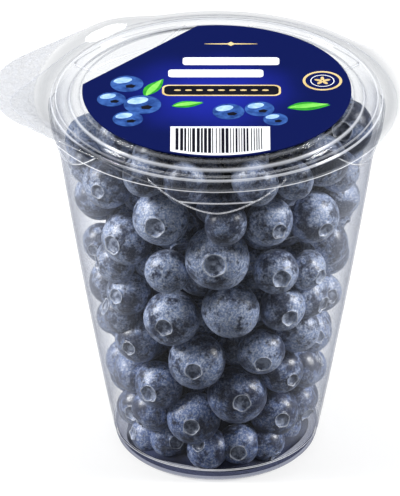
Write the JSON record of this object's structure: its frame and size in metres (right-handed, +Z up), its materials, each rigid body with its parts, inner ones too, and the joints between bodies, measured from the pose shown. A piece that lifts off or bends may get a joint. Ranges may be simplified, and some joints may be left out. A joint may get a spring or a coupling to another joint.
{
  "type": "punnet of blueberries",
  "caption": "round tapered clear cup full of blueberries, shut by a clear press-on lid with two pull tabs and a round label",
  "frame": {"origin": "under the middle of the whole width and depth, on the surface that the cup stands on; the cup's own axis is 3.75 mm from it towards +X", "axes": "+Z up along the cup's axis, -Y towards the front, -X towards the large pull tab and +X towards the small one"},
  "size_m": [0.1174, 0.1014, 0.1109],
  "materials": {
    "clear_cup": "clear, glossy",
    "clear_lid": "clear, glossy, with a finely pebbled pull tab",
    "label_print": "satin printed film label",
    "berry_skin": "dull blue fruit skin with pale bloom"
  },
  "bodies": {
    "root": {"cup": "clear_cup", "lid": "clear_lid", "label": "label_print", "berries": "berry_skin"}
  },
  "joints": []
}
